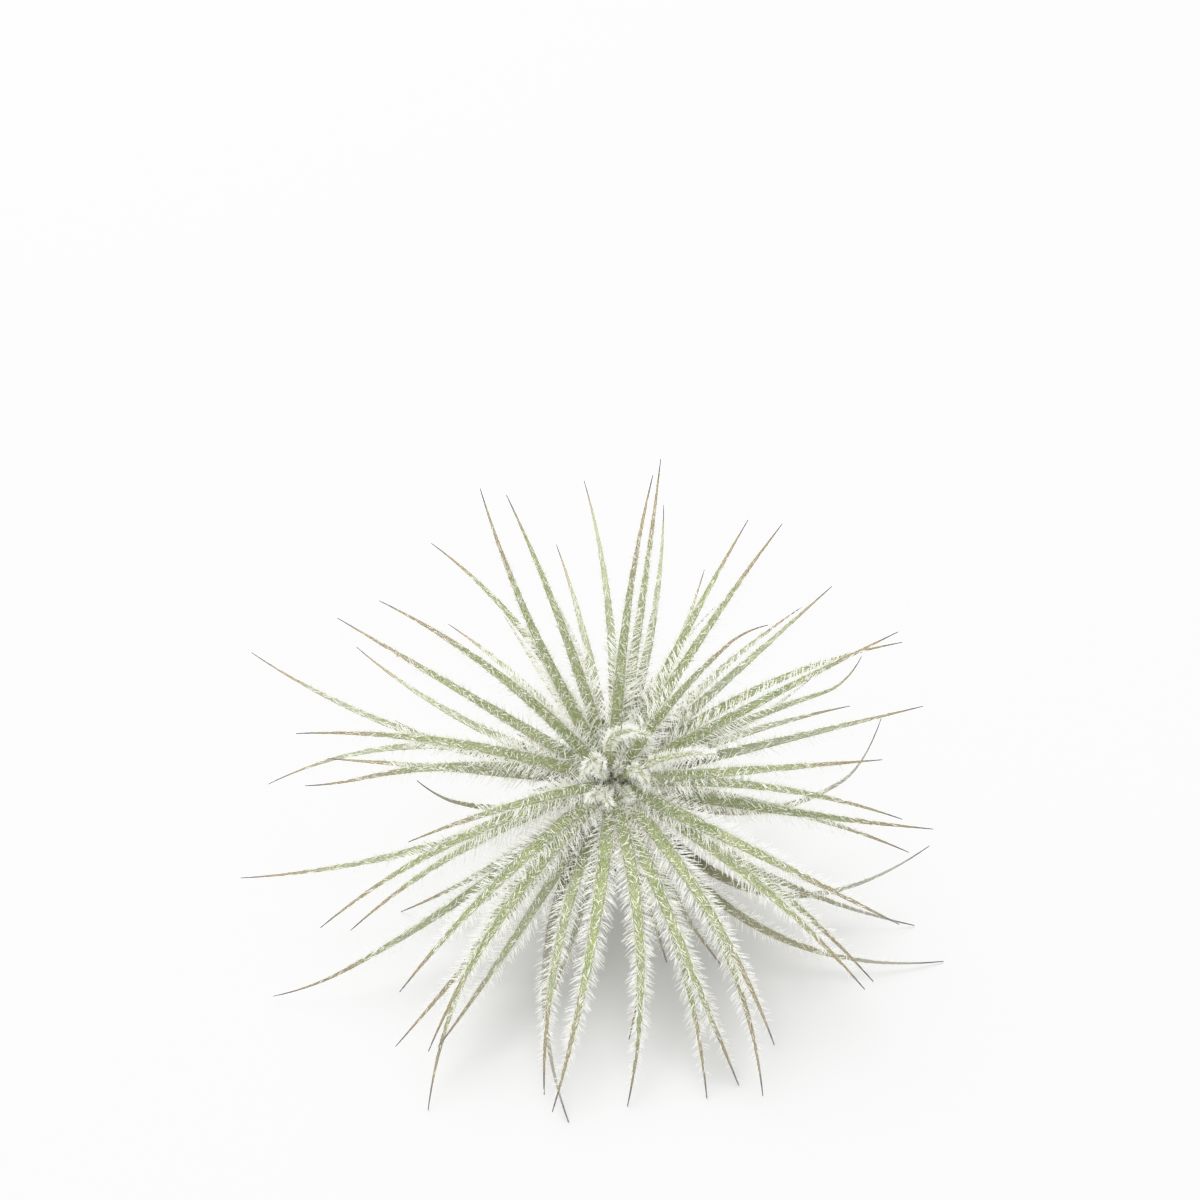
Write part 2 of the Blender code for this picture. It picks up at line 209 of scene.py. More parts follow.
# The middle leaves, spread almost flat.
MIDDLE_LEAVES = (
    Leaf(63, 47, 4, -7, bow=0.6, dry=0.35),
    Leaf(26, 51, 4, -7, bow=3.2, dry=0.4),
    Leaf(22, 45, -2, -9, bow=1.2, hook=(4.0, 0.0), dry=0.1),
    Leaf(352, 51, 4, -7, bow=-0.6, width=1.1, dry=0.5),
    Leaf(323, 51, 5, -8, bow=2.3, dry=0.55),
    Leaf(296, 53, 9, -8, bow=4.5, arch=5, dry=0.6),
    Leaf(287, 51, None, -7, bow=2.4, dry=0.5),
    Leaf(274, 40, 5, -9, bow=3.0, arch=5, dry=0.5),
    Leaf(258, 49, 8, -8, bow=-2.8, dry=0.5),
    Leaf(241, 58, None, -8, bow=-5.6, arch=5, dry=0.35),
    Leaf(237, 49, 7, -9, bow=0.6, dry=0.4),
    Leaf(231, 53, 6, -9, bow=0.4, arch=5, dry=0.5),
    Leaf(214, 65, None, -9, bow=2.2, arch=5, hook=(-1.5, 0.0), dry=0.45),
    Leaf(210, 48, 0, -8, bow=-2.4, dry=0.4),
    Leaf(195, 64, -12, -9, bow=2.8, arch=7, dry=0.4),
    Leaf(183, 49, 2, -8, bow=-3.4, hook=(-1.4, 0.5), dry=0.65),
    Leaf(176, 46, 0, -9, arch=7, dry=0.5),
    Leaf(128, 49, -3, -8, bow=-3.2, dry=0.3),
)

# The lower green leaves, which fall back behind the heart.
BACK_LEAVES = (
    Leaf(96, 51, -12, -11, bow=-2.0, arch=7, dry=0.1),
    Leaf(80, 47, -10, -11, bow=-1.7, arch=7, dry=0.1),
    Leaf(42, 49, -10, -11, arch=7, dry=0.2),
    Leaf(14, 53, -10, -11, arch=7, dry=0.3),
    Leaf(347, 50, -9, -11, bow=2.0, arch=7, dry=0.3),
    Leaf(181, 58, -14, -11, bow=-6.0, arch=7, dry=0.3),
    Leaf(161, 65, -14, -12, bow=3.6, arch=7, dry=0.3),
    Leaf(104, 42, -20, -12, bow=-1.0, arch=5),
    Leaf(124, 34, -20, -12, arch=4),
    Leaf(153, 50, -20, -12, bow=2.5, arch=5),
    Leaf(43, 44, -18, -12, bow=1.5, arch=5),
    Leaf(67, 40, -22, -12, bow=-1.0, arch=4),
    Leaf(18, 43, -22, -12, bow=1.0, arch=4),
    Leaf(137, 40, -26, -12, bow=-1.5, arch=3),
    Leaf(287, 31, None, -12, arch=4, width=0.9),
    Leaf(254, 38, None, -12, bow=1.0, arch=4, width=0.9),
    Leaf(231, 40, None, -12.5, bow=-1.0, arch=4, width=0.9),
    Leaf(301, 35, None, -12.5, bow=-1.0, arch=4, width=0.9),
    Leaf(212, 42, None, -12.5, bow=1.5, arch=5, width=0.9),
)

# The oldest leaves, grey and dry, lying out along the floor.
OLD_LEAVES = (
    Leaf(332, 62, None, -16, bow=-9.5, arch=6, dry=0.2),
    Leaf(349, 54, -14, -17, bow=-13.0, arch=3, dry=0.4),
    Leaf(335, 56, None, -17, bow=-3.0, arch=5, dry=0.3),
    Leaf(8, 47, -18, -17, bow=-8.0, arch=4, hook=(5.0, 0.0), dry=0.5),
    Leaf(183, 32, -8, -16, bow=3.6, arch=2, hook=(-1.5, 3.0), dry=0.1),
    Leaf(263, 52.5, None, -16, bow=-6.9, arch=4, dry=0.9),
    Leaf(300, 24, None, -17, arch=2, dry=0.9),
    Leaf(222, 33, None, -17, bow=2.0, arch=3, dry=0.6),
    Leaf(60, 36, -30, -17, bow=2.0, arch=2, dry=0.7),
    Leaf(110, 38, -31, -17, bow=-2.0, arch=2, dry=0.8),
    Leaf(165, 40, -28, -17, bow=2.0, arch=2, dry=0.7),
    Leaf(28, 40, -28, -17, bow=-2.0, arch=2, dry=0.8),
)

# The young leaves of the heart, curled over on themselves.
HEART_LEAVES = (
    Leaf(43, 9.5, 7, -5, bow=5.0, arch=7, hook=(0.0, -1.5), width=0.75, root=0.6, dry=0.0),
    Leaf(181, 5.0, 5, -5, bow=-3.4, arch=6, hook=(0.0, -1.0), width=0.65, root=1.0, dry=0.0),
    Leaf(342, 5.6, 5, -5, bow=2.9, arch=6, hook=(0.0, -1.0), width=0.65, root=0.8, dry=0.0),
    Leaf(217, 5.0, 5, -5, arch=4, width=0.45, root=1.1, dry=0.0),
    Leaf(14, 17.0, 12, -5, bow=1.5, arch=8, hook=(0.0, -2.0), width=0.55, root=1.6, dry=0.0),
    Leaf(268, 4.0, 6, -5, bow=-1.0, arch=3, width=0.4, root=0.9, dry=0.0),
    Leaf(118, 3.4, 7, -5, bow=1.0, arch=2, width=0.4, root=1.0, dry=0.0),
    Leaf(285, 1.5, -0.8, -4.6, arch=0.8, width=0.4, root=0.2, dry=1.0),
    Leaf(70, 3.0, 1.5, -5.2, arch=1.8, width=0.45, root=0.9, dry=0.0),
    Leaf(235, 3.2, 0.5, -5.2, arch=2.2, width=0.45, root=1.0, dry=0.1),
    Leaf(318, 4.4, 1.2, -5.2, arch=2.6, width=0.5, root=1.2, dry=0.1),
    Leaf(150, 3.6, 0.8, -5.2, arch=2.0, width=0.45, root=1.1, dry=0.0),
)

LIVING_LEAVES = UPPER_LEAVES + MIDDLE_LEAVES + BACK_LEAVES
UPPER = slice(0, len(UPPER_LEAVES))
MIDDLE = slice(UPPER.stop, UPPER.stop + len(MIDDLE_LEAVES))
BACK = slice(MIDDLE.stop, len(LIVING_LEAVES))
# The upper leaves run down the right side of the rosette first, then up the left.
UPPER_RIGHT, UPPER_LEFT = slice(0, 13), slice(13, UPPER.stop)

SPIRAL_SCALES = 10
FRAYED_SCALES = 26
COLLAR_SHEATHS = 44
WORN_LEAVES = 20


def spiral(low: float, high: float, count: int, turn: float = 0.0) -> list[tuple[float, float]]:
    """Space leaves up the stem, each a golden turn on from the one below.

    Args:
        low: The lowest seat, in millimetres.
        high: The highest.
        count: How many leaves there are.
        turn: Where the first one points, in degrees.

    Returns:
        The azimuth and the seat of each.
    """
    return [((i * GOLDEN_TURN + turn) % 360, seat)
            for i, seat in enumerate(np.linspace(low, high, count))]


def stem_scales() -> tuple[Leaf, ...]:
    """Place the dry sheaths left on the stub: one spiral, and frayed ones between.

    Returns:
        The sheaths of the spiral, then the frayed ones.
    """
    return tuple(
        Leaf(azimuth, 4.7, min(seat + 6.5, -20.7), seat, arch=0.4, width=1.2, root=1.8, dry=1.0)
        for azimuth, seat in spiral(-32.0, -21.5, SPIRAL_SCALES)
    ) + tuple(
        Leaf(azimuth, 4.3, min(seat + 5.0, -20.9), seat, arch=0.2, width=1.7, root=2.6, dry=1.0)
        for azimuth, seat in spiral(-35.5, -22.0, FRAYED_SCALES, turn=60.0))


def collar_sheaths() -> tuple[Leaf, ...]:
    """Place the broad sheaths that wrap the cores, browner the lower they sit.

    Returns:
        The sheaths, from the lowest up.
    """
    low, high = -20.5, -9.0
    return tuple(
        Leaf(azimuth, 6.5, seat + 6.5, seat, arch=0.7, width=2.0, root=4.5,
             dry=float((high - seat) / (high - low)))
        for azimuth, seat in spiral(low, high, COLLAR_SHEATHS))


def worn_leaves() -> tuple[Leaf, ...]:
    """Place the short stumps of broken leaves that fill the gaps under the rosette; their bases
    carry painted shade.

    Returns:
        The stumps, from the highest down.
    """
    return tuple(
        Leaf((i * GOLDEN_TURN + 272) % 360, 15.0 + 4.0 * math.sin(3.0 * i), -11.0 - i % 3,
             -13.5 - 0.12 * i, arch=2.5, width=1.5, dry=0.2)
        for i in range(WORN_LEAVES))


def draw_rolls(dice: random.Random, count: int) -> list[float]:
    """Return the next blades' turns in radians, drawn in the order in which the solids do."""
    return [dice.uniform(-ROLL_SPREAD, ROLL_SPREAD) for _ in range(count)]


def deselect_all() -> None:
    """Leave nothing selected, so that an operator acts on the new piece alone."""
    bpy.ops.object.select_all(action="DESELECT")


def is_upright(first: Vector, second: Vector) -> bool:
    """Return whether an edge of a rod of unit height runs up it."""
    return abs(first.z - second.z) > 0.5


def edit_edges(piece: bpy.types.Object, chosen: Callable[[Vector, Vector], bool]) -> None:
    """Open a piece in edit mode with some of its edges selected.

    Args:
        piece: The piece to open.
        chosen: Says of an edge's two ends whether to select it.
    """
    bpy.context.view_layer.objects.active = piece
    bpy.context.tool_settings.mesh_select_mode = (False, True, False)
    mesh = piece.data
    picks = [chosen(*(mesh.vertices[v].co for v in edge.vertices)) for edge in mesh.edges]
    mesh.vertices.foreach_set("select", [False] * len(mesh.vertices))
    mesh.polygons.foreach_set("select", [False] * len(mesh.polygons))
    mesh.edges.foreach_set("select", picks)
    bpy.ops.object.mode_set(mode="EDIT")


def read_points(mesh: bpy.types.Mesh) -> np.ndarray:
    """Read a mesh's vertices.

    Args:
        mesh: The mesh.

    Returns:
        Their places, one a row.
    """
    points = np.empty(len(mesh.vertices) * 3)
    mesh.vertices.foreach_get("co", points)
    return points.reshape(-1, 3)


def write_points(mesh: bpy.types.Mesh, points: np.ndarray) -> None:
    """Move a mesh's vertices to new places, one a row."""
    mesh.vertices.foreach_set("co", np.ascontiguousarray(points, np.float32).ravel())
    mesh.update()


def write_values(mesh: bpy.types.Mesh, **marks: float | np.ndarray) -> None:
    """Store numbers on the vertices, for the materials to read.

    Args:
        mesh: The mesh that keeps them.
        marks: For each attribute's name, one number, or one for each vertex.
    """
    for name, values in marks.items():
        layer = mesh.attributes.new(name, "FLOAT", "POINT")
        full = np.broadcast_to(np.asarray(values, np.float32), len(mesh.vertices))
        layer.data.foreach_set("value", np.ascontiguousarray(full))


def join_pieces(parts: list[bpy.types.Object], name: str) -> bpy.types.Object:
    """Join parts into one piece.

    Args:
        parts: Objects in the row frame; the first one stays.
        name: The joined piece's name.

    Returns:
        The piece.
    """
    deselect_all()
    for part in parts:
        part.select_set(True)
    bpy.context.view_layer.objects.active = parts[0]
    bpy.ops.object.join()
    parts[0].name = parts[0].data.name = name
    return parts[0]


def hand_over(piece: bpy.types.Object, slot: Slot, *nodes: str) -> None:
    """Fix a piece to the plant's body and hide the solids that it replaces.

    Args:
        piece: The finished piece.
        slot: Not used.
        nodes: The solids that it replaces, if any.
    """
    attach(piece, "root")
    if nodes:
        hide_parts(*nodes)
    piece.data.calc_loop_triangles()
    LOG.info("%s: %d triangles", piece.name, len(piece.data.loop_triangles))


class NodeBench:
    """Adds nodes to one tree and wires them, for the finishes below."""

    def __init__(self, tree: bpy.types.NodeTree) -> None:
        """Take a material's, world's or group's nodes to work on."""
        self.tree = tree

    def link(self, result: Socket, target: Socket) -> None:
        """Wire an output into an input."""
        self.tree.links.new(result, target)

    def add(self, kind: str, inputs: dict | None = None, **settings) -> bpy.types.Node:
        """Add a node.

        Args:
            kind: The node's type name.
            inputs: What goes into its sockets: numbers, colours, or sockets to link from.
            settings: The node's own properties.

        Returns:
            The node.
        """
        node = self.tree.nodes.new(kind)
        for name, value in settings.items():
            setattr(node, name, value)
        for key, value in (inputs or {}).items():
            if isinstance(value, Socket):
                self.link(value, node.inputs[key])
            else:
                node.inputs[key].default_value = value
        return node

    def math(self, operation: str, first: Value, second: Value = 0.0,
             clamp: bool = False) -> Socket:
        """Add a Math node and return its output.

        Args:
            operation: The Math node's operation.
            first: A number or a socket.
            second: A number or a socket.
            clamp: Whether to keep the result between 0 and 1.

        Returns:
            The result's socket.
        """
        node = self.add("ShaderNodeMath", {0: first, 1: second}, operation=operation)
        node.use_clamp = clamp
        return node.outputs[0]

    def ramp(self, value: Value, low: Value, high: Value, to_low: float = 0.0,
             to_high: float = 1.0) -> Socket:
        """Turn a range of values smoothly into another.

        Args:
            value: A number or a socket.
            low: Where the range starts.
            high: Where it ends.
            to_low: What low becomes.
            to_high: What high becomes.

        Returns:
            The result's socket.
        """
        inputs = {"Value": value, "From Min": low, "From Max": high, "To Min": to_low,
                  "To Max": to_high}
        node = self.add("ShaderNodeMapRange", inputs, interpolation_type="SMOOTHSTEP")
        return node.outputs["Result"]

    def blend(self, first: Colour | Socket, second: Colour | Socket, share: Value) -> Socket:
        """Mix two colours.

        Args:
            first: A colour or a socket.
            second: A colour or a socket.
            share: How much of the second shows.

        Returns:
            The mixed colour's socket.
        """
        node = self.add("ShaderNodeMix", data_type="RGBA")
        for index, value in ((0, share), (6, first), (7, second)):
            if isinstance(value, Socket):
                self.link(value, node.inputs[index])
            elif index:
                node.inputs[index].default_value = (*value, 1.0)
            else:
                node.inputs[index].default_value = value
        return node.outputs[2]

    def attribute(self, name: str) -> Socket:
        """Return the socket of a number stored on the vertices."""
        node = self.add("ShaderNodeAttribute", attribute_name=name, attribute_type="GEOMETRY")
        return node.outputs["Fac"]

    def place(self) -> Socket:
        """Return the socket of the object's own coordinates."""
        return self.add("ShaderNodeTexCoord").outputs["Object"]


class Effects:
    """The shader effects that several finishes share, each a node group built once."""

    def __init__(self) -> None:
        """Build the groups."""
        self.frost = self._frost()
        self.fibres = self._fibres()
        self.clouds = self._clouds()

    @staticmethod
    def _group(name: str, numbers: dict[str, float], result: str) -> tuple[
            bpy.types.NodeTree, NodeBench, bpy.types.Node, bpy.types.Node]:
        """Open a group that takes a Vector and some numbers.

        Args:
            name: The group's name.
            numbers: Its number inputs and their defaults.
            result: The name of its output.

        Returns:
            The group, a bench on it, its input node and its output node.
        """
        tree = bpy.data.node_groups.new(name, "ShaderNodeTree")
        tree.interface.new_socket("Vector", in_out="INPUT", socket_type="NodeSocketVector")
        for label, value in numbers.items():
            socket = tree.interface.new_socket(
                label, in_out="INPUT", socket_type="NodeSocketFloat")
            socket.default_value = value
        tree.interface.new_socket(result, in_out="OUTPUT", socket_type="NodeSocketFloat")
        bench = NodeBench(tree)
        return tree, bench, bench.add("NodeGroupInput"), bench.add("NodeGroupOutput")

    def _frost(self) -> bpy.types.NodeTree:
        """Group the silvery flecks: scales of uneven size, drawn out down the blade.

        Returns:
            The group, which reads a map whose U runs round the blade.
        """
        tree, bench, given, out = self._group(
            "silver_flecks", {"Round": 24.0, "Down": 190.0, "Leaf": 0.0, "Cover": 0.5}, "Mask")
        leaf_apart, smallest, core_share = 50.0, 0.12, 0.55
        parts = bench.add("ShaderNodeSeparateXYZ", {0: given.outputs["Vector"]})
        spread = bench.add("ShaderNodeCombineXYZ", {
            0: bench.math("MULTIPLY", parts.outputs[0], given.outputs["Round"]),
            1: bench.math("MULTIPLY", parts.outputs[1], given.outputs["Down"]),
            2: bench.math("MULTIPLY", given.outputs["Leaf"], leaf_apart)})
        cells = bench.add("ShaderNodeTexVoronoi", {"Vector": spread.outputs[0], "Scale": 1.0})
        size = bench.add("ShaderNodeSeparateColor", {0: cells.outputs["Color"]})
        reach = bench.math("MULTIPLY", given.outputs["Cover"], size.outputs[0])
        reach = bench.math("ADD", reach, smallest)
        inner = bench.math("MULTIPLY", reach, core_share)
        bench.link(bench.ramp(cells.outputs["Distance"], inner, reach, 1.0, 0.0),
                   out.inputs["Mask"])
        return tree

    def _fibres(self) -> bpy.types.NodeTree:
        """Group the fine lines down a blade.

        Returns:
            The group, which reads a map whose U runs round the blade.
        """
        tree, bench, given, out = self._group(
            "lengthwise_fibres", {"Count": 26.0, "Waver": 0.6}, "Lines")
        drawn_out, wave_height, grain_share = 9.0, 0.25, 0.5
        parts = bench.add("ShaderNodeSeparateXYZ", {0: given.outputs["Vector"]})
        across = bench.math("MULTIPLY", parts.outputs[0], given.outputs["Count"])
        stretch = bench.add("ShaderNodeCombineXYZ", {
            0: across, 1: bench.math("MULTIPLY", parts.outputs[1], drawn_out)})
        grain = bench.add("ShaderNodeTexNoise", {
            "Vector": stretch.outputs[0], "Scale": 1.6, "Detail": 3.0, "Roughness": 0.6})
        phase = bench.math("MULTIPLY", grain.outputs["Fac"], given.outputs["Waver"])
        turn = bench.math("MULTIPLY", bench.math("ADD", across, phase), 2 * math.pi)
        wave = bench.math("MULTIPLY_ADD", bench.math("SINE", turn), wave_height)
        wave.node.inputs[2].default_value = wave_height
        grain = bench.math("MULTIPLY", grain.outputs["Fac"], grain_share)
        bench.link(bench.math("ADD", wave, grain, True), out.inputs["Lines"])
        return tree

    def _clouds(self) -> bpy.types.NodeTree:
        """Group the soft uneven patches.

        Returns:
            The group.
        """
        tree, bench, given, out = self._group(
            "soft_patches", {"Scale": 200.0, "Contrast": 0.5}, "Value")
        noise = bench.add("ShaderNodeTexNoise", {
            "Vector": given.outputs["Vector"], "Scale": given.outputs["Scale"],
            "Detail": 4.0, "Roughness": 0.55})
        low = bench.math("MULTIPLY", given.outputs["Contrast"], 0.6)
        high = bench.math("SUBTRACT", 1.0, low)
        bench.link(bench.ramp(noise.outputs["Fac"], low, high), out.inputs["Value"])
        return tree

    @staticmethod
    def use(bench: NodeBench, group: bpy.types.NodeTree, inputs: dict) -> Socket:
        """Place one of the groups in a material.

        Args:
            bench: The material's bench.
            group: The group to place.
            inputs: What goes into its sockets.

        Returns:
            The group's result.
        """
        return bench.add("ShaderNodeGroup", inputs, node_tree=group).outputs[0]

    def patches(self, bench: NodeBench, scale: float, contrast: float) -> Socket:
        """Return soft patches laid over a piece on its own coordinates."""
        inputs = {"Vector": bench.place(), "Scale": scale, "Contrast": contrast}
        return self.use(bench, self.clouds, inputs)


def new_material(name: str) -> tuple[bpy.types.Material, NodeBench, bpy.types.Node]:
    """Start a material.

    Args:
        name: The material's name.

    Returns:
        The material, a bench on its nodes and its Principled shader.
    """
    material = bpy.data.materials.new(name)
    material.use_nodes = True
    return material, NodeBench(material.node_tree), material.node_tree.nodes["Principled BSDF"]


@dataclass(frozen=True)
class BladeFinish:
    """Leaf skin: green body, dried tip, silver flecks and fine lines down its length."""

    name: str
    deep: Colour
    light: Colour
    tip: Colour
    rim: Colour = (0.40, 0.33, 0.12)
    faded: Colour = (0.44, 0.46, 0.36)
    # The old bases' dark colour: partly their own browning, partly painted shade for the gaps
    # round the core.
    browned_base_and_shade: Colour = (0.13, 0.125, 0.05)
    point: Colour = (0.11, 0.11, 0.135)
    frost: Colour = (0.84, 0.86, 0.78)
    flecks_round: float = 32.0
    flecks_down: float = 480.0
    fleck_cover: float = 0.55
    browning: float = 0.38
    tip_start: float = 0.86
    mottle: float = 0.15
    roughness: float = 0.72
    bump: float = 0.5

    # The scale and the contrast of each.
    PATCHES = (260.0, 0.55)
    GRAIN = (1700.0, 0.62)
    # How much patches, tint and lines lighten the body, age fades it and flecks cover it.
    PATCH_SHARE = 0.42
    TINT_SHARE = 0.3
    LINE_SHARE = 0.4
    FADING = 0.75
    FLECK_SHARE = 0.8
    # How far patches shift the start of the dried tip, and how long it takes to come in.
    RAGGED_START = 0.08
    TIP_FADE = 0.2
    # How the lines show in the roughness and the relief.
    ROUGHNESS_SPREAD = 0.1
    LINE_HEIGHT = 0.5
    BUMP_REACH = 0.12 * MM
    # Where an effect starts and ends, and how strong it is at either place.
    # Where the dark base of old leaves and cores, partly painted shade, comes in.
    BASE_SHADE_SPAN = (0.1, 0.36, 2.6, 0.0)
    RIM_SPAN = (0.55, 0.95, 0.0, 0.9)
    DRY_SPAN = (0.2, 0.95, 0.6, 1.0)
    POINT_SPAN = (0.91, 0.97, 0.0, 0.9)
    COVER_SPAN = (0.1, 0.6, 0.75, 1.0)

    def make(self, effects: Effects) -> bpy.types.Material:
        """Build the material.

        Args:
            effects: The shared node groups.

        Returns:
            The material.
        """
        material, bench, shader = new_material(self.name)
        skin_map = bench.add("ShaderNodeUVMap", uv_map="UVMap").outputs[0]
        patches = effects.patches(bench, *self.PATCHES)
        lines = effects.use(bench, effects.fibres, {"Vector": skin_map})
        mottled = bench.math("MULTIPLY", effects.patches(bench, *self.GRAIN), self.mottle)
        body = self._body(bench, patches, lines, mottled)
        skin = self._weather(bench, body, patches)
        flecks = self._flecks(bench, effects, skin_map)
        share = bench.math("MULTIPLY", flecks, self.FLECK_SHARE)
        bench.link(bench.blend(skin, self.frost, share), shader.inputs["Base Color"])
        rough = bench.ramp(lines, 0.0, 1.0, self.roughness - self.ROUGHNESS_SPREAD,
                           self.roughness + self.ROUGHNESS_SPREAD)
        bench.link(rough, shader.inputs["Roughness"])
        relief = bench.math("ADD", bench.math("MULTIPLY", lines, self.LINE_HEIGHT), mottled)
        bump = bench.add("ShaderNodeBump", {
            "Height": bench.math("ADD", relief, flecks), "Strength": self.bump,
            "Distance": self.BUMP_REACH})
        bench.link(bump.outputs[0], shader.inputs["Normal"])
        shader.inputs["Specular IOR Level"].default_value = 0.35
        return material

    def _body(self, bench: NodeBench, patches: Socket, lines: Socket,
              mottled: Socket) -> Socket:
        """Mix the leaf's own colour, faded with age; old bases are browned and carry painted
        shade.

        Args:
            bench: The material's bench.
            patches: Soft uneven patches.
            lines: Fine lines down the blade.
            mottled: Fine grain.

        Returns:
            The colour's socket.
        """
        shade = bench.math("ADD", bench.math("MULTIPLY", patches, self.PATCH_SHARE), mottled)
        tint = bench.math("MULTIPLY", bench.attribute("tint"), self.TINT_SHARE)
        lined = bench.math("MULTIPLY", lines, self.LINE_SHARE)
        shade = bench.math("ADD", bench.math("ADD", shade, tint), lined, True)
        body = bench.blend(self.deep, self.light, shade)
        age = bench.math("MULTIPLY", bench.attribute("age"), self.FADING)
        body = bench.blend(body, self.faded, age)
        # Old leaves and cores darken towards the base: partly their own browning, partly painted
        # shade.
        low = bench.ramp(bench.attribute("along"), *self.BASE_SHADE_SPAN)
        return bench.blend(body, self.browned_base_and_shade, bench.math("MULTIPLY", low, age, True))

    def _weather(self, bench: NodeBench, body: Socket, patches: Socket) -> Socket:
        """Brown the rims and the tip, and darken its very point.

        Args:
            bench: The material's bench.
            body: The leaf's own colour.
            patches: Soft uneven patches.

        Returns:
            The colour's socket.
        """
        along = bench.attribute("along")
        edge = bench.attribute("edge")
        rim = bench.math("MULTIPLY", bench.ramp(edge, *self.RIM_SPAN), patches)
        body = bench.blend(body, self.rim, rim)
        early = bench.math("MULTIPLY", bench.attribute("dry"), self.browning)
        start = bench.math("SUBTRACT", self.tip_start, early)
        where = bench.math("ADD", along, bench.math("MULTIPLY", patches, self.RAGGED_START))
        dried = bench.ramp(where, start, bench.math("ADD", start, self.TIP_FADE))
        dried = bench.math("MULTIPLY", dried, bench.ramp(edge, *self.DRY_SPAN))
        skin = bench.blend(body, self.tip, dried)
        return bench.blend(skin, self.point, bench.ramp(along, *self.POINT_SPAN))

    def _flecks(self, bench: NodeBench, effects: Effects, skin_map: Socket) -> Socket:
        """Lay the silver flecks on, thicker away from the heart.

        Args:
            bench: The material's bench.
            effects: The shared node groups.
            skin_map: The map whose U runs round the blade.

        Returns:
            The flecks' mask.
        """
        cover = bench.ramp(bench.attribute("along"), *self.COVER_SPAN)
        return effects.use(bench, effects.frost, {
            "Vector": skin_map, "Round": self.flecks_round, "Down": self.flecks_down,
            "Leaf": bench.attribute("tint"),
            "Cover": bench.math("MULTIPLY", cover, self.fleck_cover)})


@dataclass(frozen=True)
class HairFinish:
    """The hairs' pale finish, a little darker and warmer at the root, with a faint glow that is
    painted light.
    """

    name: str = "leaf_hair"
    root: Colour = (0.62, 0.66, 0.52)
    tip: Colour = (0.88, 0.89, 0.86)
    aged: Colour = (0.80, 0.76, 0.66)
    # Painted light: emission that keeps the hairs bright in shade.
    painted_glow: float = 0.18

    # Where down a hair it has turned pale, and the tone above which hairs look aged.
    PALE_BY = 0.5
    AGED_FROM = 0.55

    def make(self) -> bpy.types.Material:
        """Build the material.

        Returns:
            The material.
        """
        material, bench, shader = new_material(self.name)
        length = bench.ramp(bench.attribute("hair_along"), 0.0, self.PALE_BY)
        pale = bench.blend(self.root, self.tip, length)
        share = bench.ramp(bench.attribute("tone"), self.AGED_FROM, 1.0)
        bench.link(bench.blend(pale, self.aged, share), shader.inputs["Base Color"])
        shader.inputs["Roughness"].default_value = 0.55
        shader.inputs["Specular IOR Level"].default_value = 0.3
        # Painted light: a faint glow lifts the hairs where they lie in shade.
        shader.inputs["Emission Color"].default_value = (1.0, 1.0, 0.97, 1.0)
        shader.inputs["Emission Strength"].default_value = self.painted_glow
        return material


@dataclass(frozen=True)
class BladeShape:
    """The cross-section of a blade and how it runs out to the tip, in metres."""

    width: float = 2.0 * MM
    tip_width: float = 0.16 * MM
    thickness: float = 0.75 * MM
    tip_thickness: float = 0.16 * MM
    channel: float = 0.55 * MM
    taper: float = 1.1
    root_width: float = 0.7
    root_length: float = 0.12

    def surface(self, leaf: Leaf, roll: float, along: np.ndarray,
                ring: np.ndarray) -> np.ndarray:
        """Lay points of the unit blade along a leaf.

        Args:
            leaf: The leaf to lie along.
            roll: The blade's turn at the tip.
            along: Shares of the way from root to tip.
            ring: Places on the unit circle round the blade, one a row.

        Returns:
            Points in the plant's frame, kept above the floor.
        """
        run, across, upward = leaf.axes(along, roll)
        taper = 1 - along ** self.taper
        clasp = self.root_width + (1 - self.root_width) * (along / self.root_length).clip(0, 1)
        half = (self.tip_width + self.width * leaf.width * taper * clasp) / 2
        thick = self.tip_thickness + (self.thickness - self.tip_thickness) * taper
        depth = self.channel * taper * ring[:, 0] ** 2 + thick * ring[:, 1] / 2
        points = leaf.midline(along) + across * (half * ring[:, 0])[:, None]
        points = points + upward * depth[:, None]
        under = (HEART[2] + points @ ROW_UP).clip(None, 0.0)
        return points - under[:, None] * ROW_UP


@dataclass(frozen=True)
class StraightBlade:
    """A straight blade of unit size, modelled once and copied for every leaf."""

    sides: int = 12
    rings: int = 36

    def model(self) -> bpy.types.Object:
        """Model the blade as a rod and cut it into rings.

        Returns:
            The blade, whose root is at the origin and whose tip is a metre above it.
        """
        deselect_all()
        bpy.ops.mesh.primitive_cylinder_add(
            vertices=self.sides, radius=1.0, depth=1.0, location=(0.0, 0.0, 0.5))
        blade = bpy.context.object
        blade.name = "straight_blade"
        bpy.ops.object.transform_apply(location=True, rotation=True, scale=True)
        edit_edges(blade, is_upright)
        bpy.ops.mesh.subdivide(number_cuts=self.rings - 1)
        bpy.ops.object.mode_set(mode="OBJECT")
        bpy.ops.object.shade_smooth_by_angle(angle=SMOOTH_BELOW)
        return blade


